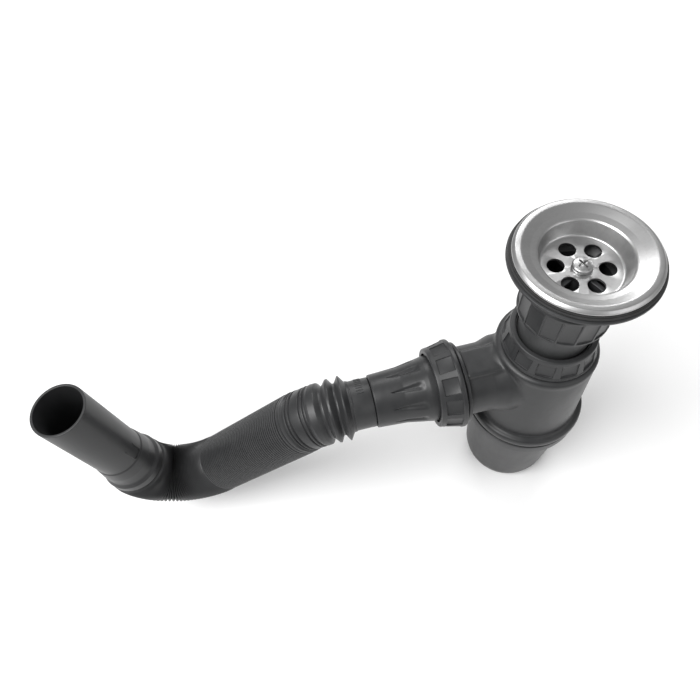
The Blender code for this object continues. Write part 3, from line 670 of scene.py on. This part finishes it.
def makeBottleShell():
    low, high = edges("bottle_body")
    neckTop, skirtFoot, branchEnd = high.z, low.z, -low.x
    beadFoot = skirtFoot + bottle["skirtLength"]
    beadTop = beadFoot + bottle["beadHeight"]
    shoulderTop = edges("bottle_nut")[0].z - 0.4
    shoulder, bead, radius = bottle["shoulder"], bottle["bead"], bottle["branch"]
    shell = lathe("bottleShell", [
        (0, shoulderTop - 0.2), (shoulder - 2.4, shoulderTop - 0.3, 0.5),
        (shoulder, shoulderTop - 1.6, 1.4), (shoulder + 0.1, shoulderTop - 4.4, 0.8),
        (shoulder - 0.1, shoulderTop - 5.2, 0.8), (bottle["foot"], beadTop + 0.4, 1.0),
        (bead - 0.8, beadTop - 0.3, 0.8), (bead, beadTop - 2.6, 1.8), (bead, beadFoot + 2.2, 1.8),
        (bead - 1.4, beadFoot, 0.7), (0, beadFoot),
    ], segments=144, ring=False)
    collarFrom = branchEnd - bottle["collarBack"]
    branch = lathe("branchForm", [
        (0, collarFrom + 0.4), (radius, collarFrom + 0.4), (radius, 4), (0, 4),
    ], segments=96, ring=False)
    layOnOutlet(branch)
    # the branch widens where it meets the bottle
    skirtForm = lathe("branchFoot", [
        (0, 34.5), (radius + 0.3, 34.5), (radius + 2.6, 27.5), (radius + 2.6, 12), (0, 12),
    ], segments=96, ring=False)
    layOnOutlet(skirtForm)
    saddleTop = outletHeight + radius + 0.5
    inner = shoulder - 8
    place = Matrix.Translation((-(inner + collarFrom + 0.4) / 2 * mm, 0, (saddleTop - 5) * mm))
    saddle = boxAt(place, (collarFrom + 0.4 - inner, bottle["saddleWidth"], 10), 0.5)
    piece = joinAll([shell, branch, skirtForm, saddle], "bottleShell")
    fuse = piece.modifiers.new("fuse", "REMESH")
    fuse.mode = "VOXEL"
    fuse.voxel_size = bottle["voxel"] * mm
    ease = piece.modifiers.new("ease", "SMOOTH")
    ease.factor = 0.5
    ease.iterations = bottle["smooth"]
    applyAll(piece)
    neck, neckBore, skirtBore = bottle["neck"], bottle["neckBore"], bottle["skirtBore"]
    chamber = lathe("chamber", [
        (0, neckTop + 4), (neckBore + 0.3, neckTop + 4), (neckBore + 0.3, shoulderTop - 2),
        (shoulder - 2.6, shoulderTop - 7), (skirtBore, beadTop - 2), (skirtBore, beadFoot - 4),
        (0, beadFoot - 4),
    ], segments=96, ring=False)
    carve(piece, chamber, solver="MANIFOLD")
    passage = lathe("passage", [
        (0, branchEnd + 3), (bottle["branchBore"], branchEnd + 3), (bottle["branchBore"], 0), (0, 0),
    ], segments=96, ring=False)
    layOnOutlet(passage)
    carve(piece, passage, solver="MANIFOLD")
    finish(piece, charcoal, "bottle", ["bottle_body"])

    # threads and mouths are rings of their own, inside the one bottle
    neckOutline = [(neck - 0.4, neckTop, 0.3)]
    threadOutline(neckOutline, neck, neckTop - 0.6, shoulderTop - 0.4, bottle["neckPitch"],
                  bottle["neckThread"])
    neckOutline += [
        (neck - 0.5, shoulderTop - 0.5), (neck, shoulderTop - 3), (neckBore, shoulderTop - 3),
        (neckBore, neckTop - 1.5), (neckBore + 0.9, neckTop, 0.2),
    ]
    finish(lathe("bottleNeck", neckOutline, segments=128), charcoal, "bottle", [])

    skirt = bottle["skirt"]
    skirtOutline = [(skirt, beadFoot + 2.0)]
    threadOutline(skirtOutline, skirt, beadFoot - 0.8, skirtFoot + 1.0, bottle["skirtPitch"],
                  bottle["skirtThread"])
    skirtOutline += [
        (skirt - 0.7, skirtFoot, 0.4), (skirtBore, skirtFoot, 0.4), (skirtBore, beadFoot + 2.0),
    ]
    finish(lathe("bottleSkirt", skirtOutline, segments=144), charcoal, "bottle", [])

    collar, collarEnd = bottle["collar"], collarFrom + bottle["collarWidth"]
    mouthOutline = [(neckBore + 0.9, branchEnd, 0.2), (neck - 0.4, branchEnd, 0.3)]
    threadOutline(mouthOutline, neck, branchEnd - 0.6, collarEnd + 0.4, bottle["neckPitch"],
                  bottle["neckThread"])
    mouthOutline += [
        (neck - 0.5, collarEnd), (collar - 0.4, collarEnd, 0.3), (collar, collarEnd - 0.6, 0.3),
        (collar, collarFrom + 0.5, 0.4), (collar - 0.8, collarFrom, 0.4),
        (radius - 0.2, collarFrom - 0.4, 0.5), (bottle["branchBore"], collarFrom - 0.4),
        (bottle["branchBore"], branchEnd - 14.9), (bottle["socket"], branchEnd - 14.3),
        (bottle["socket"], branchEnd - 4.7), (neckBore, branchEnd - 3.7), (neckBore, branchEnd - 1.5),
    ]
    mouth = lathe("branchMouth", mouthOutline, segments=144)
    layOnOutlet(mouth)
    finish(mouth, charcoal, "bottle", [])


cup = {
    "rim": 37.2, "rimHeight": 8.0, "bore": 33.65, "skirt": 8.6, "barrel": 33.0, "foot": 27.0,
    "wall": 2.4,
}


def makeCup():
    low, high = edges("cup")
    top, foot = high.z, low.z
    rimFoot = top - cup["rimHeight"]
    barrel = cup["barrel"]
    depth = rimFoot - foot
    side = [
        (barrel + 2.9, rimFoot - 1.4, 0.8), (barrel, rimFoot - 6.6, 2.5),
        (barrel - 1, rimFoot - 0.43 * depth), (barrel - 1.8, rimFoot - 0.66 * depth),
        (barrel - 2.8, rimFoot - 0.87 * depth, 2.0), (cup["foot"] + 1.8, foot + 3, 1.5),
    ]
    inner = [(spot[0] - cup["wall"], spot[1] + 0.4) for spot in side[1:]]
    piece = lathe("cup", [
        (0, foot + cup["wall"]), (cup["foot"] - 1.4, foot + cup["wall"], 1.4), *reversed(inner),
        (cup["bore"], top - cup["skirt"]), (cup["bore"], top, 0.3), (cup["rim"] - 0.1, top, 0.7),
        (cup["rim"], top - 2.0), (cup["rim"], rimFoot + 0.4, 0.6), *side, (cup["foot"], foot, 1.8),
        (cup["foot"] - 3.0, foot, 0.5), (cup["foot"] - 4.0, foot + 0.6, 0.5), (0, foot + 0.6),
    ], segments=192, ring=False)
    finish(piece, charcoal, "cup", ["cup"])


reducer = {
    "tube": 20.0, "wall": 2.0, "end": 16.3, "waist": 17.2, "bore": 14.3, "petals": 10,
    "petalDepth": 1.15, "petalLength": 20.0, "petalFrom": 4.5, "petalWidth": 0.62,
    "rings": 26, "ringStep": 0.95,
}


def makeReducer():
    low, high = edges("reducer")
    start, end = -high.x, -low.x
    straight = -edges("outlet_nut")[0].x + 1.4
    tube, waist, tip, bore = reducer["tube"], reducer["waist"], reducer["end"], reducer["bore"]
    tubeBore = tube - reducer["wall"]
    piece = lathe("reducer", [
        (tip - 0.4, end, 0.3), (tip, end - 0.7, 0.3), (tip + 0.25, end - 6), (waist, straight + 17),
        (waist + 0.7, straight + 13), (waist + 1.4, straight + 9), (tube - 0.7, straight + 4.5),
        (tube - 0.1, straight + 1.6), (tube, straight), (tube, start + 0.6), (tube - 0.5, start, 0.2),
        (tubeBore, start, 0.3), (tubeBore, straight), (bore + 0.6, straight + 18), (bore, end - 15),
        (bore, end, 0.4),
    ], segments=240)
    # the outside is cut into rings, so that the tapering flutes can be pressed into it
    pick(piece)
    bpy.ops.object.mode_set(mode="EDIT")
    for i in range(reducer["rings"]):
        height = straight + 1 + i * reducer["ringStep"]
        bpy.ops.mesh.select_all(action="SELECT")
        bpy.ops.mesh.bisect(plane_co=(0, 0, height * mm), plane_no=(0, 0, 1))
    bpy.ops.object.mode_set(mode="OBJECT")
    for vert in piece.data.vertices:
        radius = math.hypot(vert.co.x, vert.co.y) / mm
        along = vert.co.z / mm - straight - reducer["petalFrom"]
        if not 0 <= along <= reducer["petalLength"] or radius < 15.9:
            continue
        t = along / reducer["petalLength"]
        angle = math.atan2(vert.co.y, vert.co.x) * reducer["petals"] / (2 * math.pi)
        aside = abs(angle - math.floor(angle) - 0.5) * 2      # 0 in a flute's middle, 1 between two
        width = reducer["petalWidth"] * (1 - t) ** 0.8
        if aside >= width:
            continue
        across = 0.5 + 0.5 * math.cos(math.pi * aside / width)
        press = reducer["petalDepth"] * across * min(1, t * 7) * (1 - 0.45 * t)
        scale = (radius - press) / radius
        vert.co.x *= scale
        vert.co.y *= scale
    layOnOutlet(piece)
    finish(piece, charcoal, "outlet_reducer", ["reducer"])


cuff = {
    "stub": 12.6, "stubBore": 11.0, "bore": 13.4, "ribs": 18, "ribSpan": math.radians(120),
    "ribMiddle": math.radians(60), "ribSize": (0.5, 0.7, 4.2),
}


def makeCuff():
    low, high = edges("hose_cuff")
    start, end = -high.x, -low.x
    outer = high.y
    face = -edges("reducer")[0].x + 0.3
    piece = lathe("hoseCuff", [
        (outer + 0.5, end, 0.3), (outer, end - 1.2, 0.5), (outer, face + 0.4),
        (outer - 0.3, face, 0.2), (cuff["stub"], face, 0.3), (cuff["stub"], start, 0.4),
        (cuff["stubBore"], start, 0.3), (cuff["stubBore"], face), (cuff["bore"], face + 3),
        (cuff["bore"], end),
    ], segments=160)
    bars = []
    for i in range(cuff["ribs"]):
        angle = cuff["ribSpan"] * (i / (cuff["ribs"] - 1) - 0.5) + cuff["ribMiddle"]
        turn = Matrix.Rotation(angle, 4, "Z")
        place = turn @ Matrix.Translation((outer * mm, 0, (face + end) / 2 * mm))
        bars.append(boxAt(place, cuff["ribSize"], 0.16))
    piece = joinAll([piece, *bars], "hoseCuff")
    layOnOutlet(piece)
    finish(piece, hoseGrey, "hose_root", ["hose_cuff"])


hose = {
    "ridge": 19.9, "ridges": (3.9, 10.4, 17.2), "root": 15.7, "land": 19.0, "groove": 0.7,
    "bore": 14.2, "runBore": 16.4, "crest": 19.9, "depth": 1.0, "pitch": 1.75,
    "bendSwell": 0.4, "bendDepth": 1.75, "bendPitch": 2.2, "pull": 1.75, "reach": 16.5,
    "cornerReach": 169.5, "bendIn": 72.0, "bendOut": 61.0, "pullIn": 1.5, "pullOut": 1.35,
    "gap": 0.3, "ring": 4.5, "straightEnd": 1.5, "lead": 4.0, "segments": 96, "shadeAngle": 26,
}
spigot = {
    "radius": 16.0, "bore": 14.4, "wallMiddle": 15.2, "collar": 17.7, "collarLength": 25.0,
    "lip": 19.5, "lipLength": 8.0, "footBore": 17.2, "markTurn": -26.0, "markSpan": 7.0,
    "markRaise": 0.45,
}


def withLeads(start, forward, between, end, onward):
    # a straight lead goes before the start and after the end, so that the end faces stay square
    return [start - forward * hose["lead"], start, *between, end, end + onward * hose["lead"]]


def smoothPath(start, startPull, end, endPull, count=60):
    forward, onward = startPull.normalized(), endPull.normalized()
    first = start + forward * hose["straightEnd"]
    last = end - onward * hose["straightEnd"]
    between = []
    for i in range(count + 1):
        t = i / count
        between.append((2 * t ** 3 - 3 * t ** 2 + 1) * first + (t ** 3 - 2 * t ** 2 + t) * startPull
                       + (3 * t ** 2 - 2 * t ** 3) * last + (t ** 3 - t ** 2) * endPull)
    return withLeads(start, forward, between, end, onward)


def linePoints(start, direction, length):
    return withLeads(start, direction, [], start + direction * length, direction)


def lengthOf(points):
    return sum((b - a).length for a, b in zip(points, points[1:])) - 2 * hose["lead"]


def bendAlong(piece, points):
    curve = bpy.data.curves.new("hosePath", "CURVE")
    curve.dimensions = "3D"
    curve.twist_mode = "MINIMUM"
    spline = curve.splines.new("POLY")
    spline.points.add(len(points) - 1)
    for control, point in zip(spline.points, points):
        control.co = (*(point * mm), 1)
    guide = bpy.data.objects.new("hosePath", curve)
    bpy.context.scene.collection.objects.link(guide)
    bend = piece.modifiers.new("bend", "CURVE")
    bend.object = guide
    bend.deform_axis = "POS_Z"
    applyAll(piece)
    bpy.data.objects.remove(guide, do_unlink=True)
    return piece


def hoseShape(name, outer, points, bore):
    # outer is (distance, radius) along the path; the bore is smooth
    length = lengthOf(points)
    count = max(2, round(length / 3))
    outline = [(spot[1], hose["lead"] + spot[0], *spot[2:]) for spot in reversed(outer)]
    outline += [(bore, hose["lead"] + length * i / count) for i in range(count + 1)]
    return bendAlong(lathe(name, outline, segments=hose["segments"]), points)


def fineRibs(start, end, pitch, crest, depth):
    spots = []
    count = max(1, round((end - start) / pitch))
    step = (end - start) / count
    for i in range(count):
        at = start + step * i
        spots += [(at, crest - depth), (at + step * 0.22, crest - 0.12 * depth),
                  (at + step * 0.5, crest), (at + step * 0.78, crest - 0.12 * depth)]
    return spots


elbow = Vector(joints["hose_tilt"]["pos_m"]) / mm
runStart = elbow + runDirection * hose["reach"]
corner = elbow + runDirection * hose["cornerReach"]
runEnd = corner - runDirection * hose["bendIn"]
aside = Vector((spigotDirection.z, 0, -spigotDirection.x)).normalized()
spigotEnd = Vector(mounts["spigot_end"]["pos_m"]) / mm - aside * spigot["wallMiddle"]
spigotBase = corner + spigotDirection * (hose["bendOut"] + hose["gap"])


def makeBellows():
    start = Vector((edges("hose_cuff")[0].x, 0, outletHeight))
    pull = (elbow - start).length * hose["pull"]
    path = smoothPath(start, Vector((-pull, 0, 0)), runStart, runDirection * pull)
    length = lengthOf(path)
    first, second, third = hose["ridges"]
    root, ridge, land = hose["root"], hose["ridge"], hose["land"]
    groove = land - hose["groove"]
    landStart = third + 4.2
    landEnd = landStart + (length - landStart) * 0.46
    # three sharp ridges, then two plain bands with a groove and a thin ring before each
    outer = [
        (0, root), (first - 2.8, root, 0.6), (first - 0.2, ridge, 0.3), (first + 0.5, ridge, 0.3),
        (first + 2.9, root + 0.3, 0.8), (second - 2.6, root + 0.3, 0.8),
        (second - 0.3, ridge - 0.2, 0.5), (second + 0.8, ridge - 0.3, 0.6),
        (second + 3.2, root + 0.7, 0.8), (third - 2.4, root + 1.0, 0.8),
        (third - 0.6, ridge - 0.7, 0.8), (third + 2.2, ridge - 0.5, 1.0), (landStart - 0.9, land, 0.3),
        (landStart - 0.5, groove), (landStart, groove), (landStart + 0.4, land + 0.3, 0.2),
        (landStart + 1.0, land + 0.3, 0.2), (landStart + 1.3, groove), (landStart + 1.8, groove),
        (landStart + 2.2, land + 0.2, 0.3), (landEnd - 0.9, land + 0.2, 0.3), (landEnd - 0.5, groove),
        (landEnd, groove), (landEnd + 0.4, land + 0.4, 0.2), (landEnd + 1.0, land + 0.4, 0.2),
        (landEnd + 1.3, groove), (landEnd + 1.8, groove), (landEnd + 2.2, land + 0.5, 0.3),
    ]
    outer += fineRibs(landEnd + 3.4, length, hose["pitch"], hose["crest"] - 0.15, hose["depth"])
    outer.append((length, hose["crest"] - hose["depth"]))
    piece = hoseShape("hoseBellows", outer, path, hose["bore"])
    finish(piece, hoseGrey, None, ["hose_bellows"])
    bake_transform(piece)


def makeRun():
    length = (runEnd - runStart).length
    path = linePoints(runStart, runDirection, length)
    outer = fineRibs(0, length, hose["pitch"], hose["crest"], hose["depth"])
    outer.append((length, hose["crest"] - hose["depth"]))
    piece = hoseShape("hoseRun", outer, path, hose["runBore"])
    finish(piece, hoseGrey, None, ["hose_run_top", "hose_run", "hose_run_end"],
           hose["shadeAngle"])
    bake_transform(piece)


def makeBend():
    pullIn = runDirection * hose["pullIn"] * hose["bendIn"]
    pullOut = spigotDirection * hose["pullOut"] * hose["bendOut"]
    path = smoothPath(runEnd, pullIn, corner + spigotDirection * hose["bendOut"], pullOut)
    length = lengthOf(path)
    outer = []
    at = 0.0
    while at < length - 1.2:
        swell = min(1, at / 7, (length - at) / 5)
        pitch = hose["pitch"] + (hose["bendPitch"] - hose["pitch"]) * swell
        depth = hose["depth"] + (hose["bendDepth"] - hose["depth"]) * swell
        crest = hose["crest"] + hose["bendSwell"] * swell
        outer += [(at, crest - depth), (at + pitch * 0.28, crest - 0.25 * depth),
                  (at + pitch * 0.5, crest), (at + pitch * 0.72, crest - 0.25 * depth)]
        at += pitch
    outer.append((length, hose["crest"] - hose["depth"]))
    piece = hoseShape("hoseBend", outer, path, hose["runBore"])
    finish(piece, hoseGrey, None, ["hose_bend"], hose["shadeAngle"])
    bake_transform(piece)


def makeSpigot():
    radius, collar, lip, bore = spigot["radius"], spigot["collar"], spigot["lip"], spigot["bore"]
    collarTop, lipTop = spigot["collarLength"], spigot["lipLength"]
    long = (spigotEnd - spigotBase).length
    piece = lathe("hoseSpigot", [
        (radius - 0.1, long, 0.35), (radius, long - 1.0), (radius, collarTop + 2.2, 0.5),
        (radius + 0.6, collarTop + 1.2, 0.4), (collar - 0.2, collarTop - 7, 3.0),
        (collar, lipTop + 2.4, 0.4), (collar + 0.2, lipTop + 1.2, 0.5), (lip, lipTop - 1.2, 0.7),
        (lip, 1.2, 0.6), (lip - 1.2, 0, 0.4), (spigot["footBore"], 0, 0.3),
        (spigot["footBore"], lipTop - 3), (bore, lipTop + 3, 1.0), (bore, long, 0.35),
    ], segments=192)
    # two long insertion marks joined by a short one
    marks = []
    middle, half = collarTop + 9.5, spigot["markSpan"] / 2
    for around, along, wide, tall in ((-half, middle, 0.8, 13.0), (half, middle - 1.5, 0.8, 10.0),
                                      (0, middle - 6.5, spigot["markSpan"], 0.8)):
        turn = Matrix.Rotation(math.radians(spigot["markTurn"]) + around / radius, 4, "Z")
        place = turn @ Matrix.Translation((radius * mm, 0, along * mm))
        marks.append(boxAt(place, (2 * spigot["markRaise"], wide, tall), 0.2))
    piece = joinAll([piece, *marks], "hoseSpigot")
    turn = Vector((0, 0, 1)).rotation_difference(spigotDirection).to_matrix().to_4x4()
    piece.matrix_world = Matrix.Translation(spigotBase * mm) @ turn
    settle(piece)
    finish(piece, hoseGrey, "spigot", ["hose_spigot"])


makeStrainer()
makeScrew()
makeGasket("strainerGasket", "strainer_gasket", "strainer", gaskets["strainerBore"],
           gaskets["strainerBulge"])
makeGasket("sinkGasket", "sink_gasket", "sink_waste", gaskets["sinkBore"], gaskets["sinkBulge"])
print("strainer made")
makeWaste()
makeInsert()
makeUnionNut()
makeTube()
makeSeal("unionSeal", "union_seal", "sink_waste", 18.8)
print("waste and inlet made")
makeNut("bottleNut", "bottle_nut", "bottle_collar")
makeRing("bottleSlipRing", "bottle_slip_ring", "slip_seals")
makeConeSeal("bottleConeSeal", "bottle_cone_seal", "slip_seals")
makeBottleShell()
makeSeal("cupSeal", "cup_seal", "cup_ring", 33.8)
makeCup()
print("bottle made")
makeNut("outletNut", "outlet_nut", "outlet_collar", along=True)
makeRing("outletSlipRing", "outlet_slip_ring", "bottle", along=True)
makeConeSeal("outletConeSeal", "outlet_cone_seal", "bottle", along=True)
makeReducer()
makeSeal("reducerSeal", "reducer_seal", "outlet_reducer", 12.8, along=True)
makeCuff()
print("outlet made")
makeBellows()
makeRun()
makeBend()
makeSpigot()
print("hose made")


stage = {
    "floorColour": 0.86, "floorSize": 8.0, "floorGap": 0.0002, "worldStrength": 0.34,
    "lens": 29.67, "cameraPlace": (-135.6, -149.1, 214.4),
    "cameraRight": (0.9732, -0.2231, -0.0563), "cameraUp": (0.2201, 0.8317, 0.5097),
}
# place in metres, width and height in metres, power in watts
lights = {
    "keyLight": ((-0.9, -0.2, 1.3), (0.9, 0.9), 32.0),
    "fillLight": ((0.9, -1.0, 0.7), (1.2, 0.9), 4.0),
    "rimLight": ((0.3, 1.2, 0.9), (1.0, 0.5), 10.0),
}


def makeFloor():
    clearSelection()
    floorHeight = cadBox[0][2] - stage["floorGap"]
    bpy.ops.mesh.primitive_plane_add(size=stage["floorSize"], location=(0, 0, floorHeight))
    floor = bpy.context.object
    floor.name = "paleFloor"
    material, tree, shader = newMaterial("paleFloor")
    soft = noiseOf(tree, objectPoints(tree, (1, 1, 1)), 3, detail=2)
    pale = stage["floorColour"]
    tint = ramp(tree, soft, grey(pale - 0.01), grey(pale + 0.01))
    tree.links.new(tint, shader.inputs["Base Color"])
    shader.inputs["Roughness"].default_value = 0.9
    floor.data.materials.append(material)


def addLight(name, place, target, size, power):
    data = bpy.data.lights.new(name, "AREA")
    data.shape = "RECTANGLE"
    data.size, data.size_y = size
    data.energy = power
    lamp = bpy.data.objects.new(name, data)
    bpy.context.scene.collection.objects.link(lamp)
    lamp.location = place
    lamp.rotation_euler = (Vector(target) - Vector(place)).to_track_quat("-Z", "Y").to_euler()


def makeCamera():
    data = bpy.data.cameras.new("camera")
    data.sensor_width = 36
    data.lens = stage["lens"]
    data.clip_start = 0.01
    camera = bpy.data.objects.new("camera", data)
    bpy.context.scene.collection.objects.link(camera)
    right = Vector(stage["cameraRight"]).normalized()
    up = Vector(stage["cameraUp"]).normalized()
    turn = Matrix((right, up, right.cross(up))).transposed().to_4x4()
    camera.matrix_world = Matrix.Translation(Vector(stage["cameraPlace"]) * mm) @ turn
    bpy.context.scene.camera = camera


def makeWorld():
    world = bpy.data.worlds.new("softRoom")
    world.use_nodes = True
    back = world.node_tree.nodes["Background"]
    back.inputs["Color"].default_value = (1, 1, 1, 1)
    back.inputs["Strength"].default_value = stage["worldStrength"]
    bpy.context.scene.world = world
    bpy.context.scene.view_settings.view_transform = "Standard"


makeFloor()
middle = (Vector(cadBox[0]) + Vector(cadBox[1])) / 2
for name, (place, size, power) in lights.items():
    addLight(name, place, middle, size, power)
makeWorld()
makeCamera()
print("stage made")
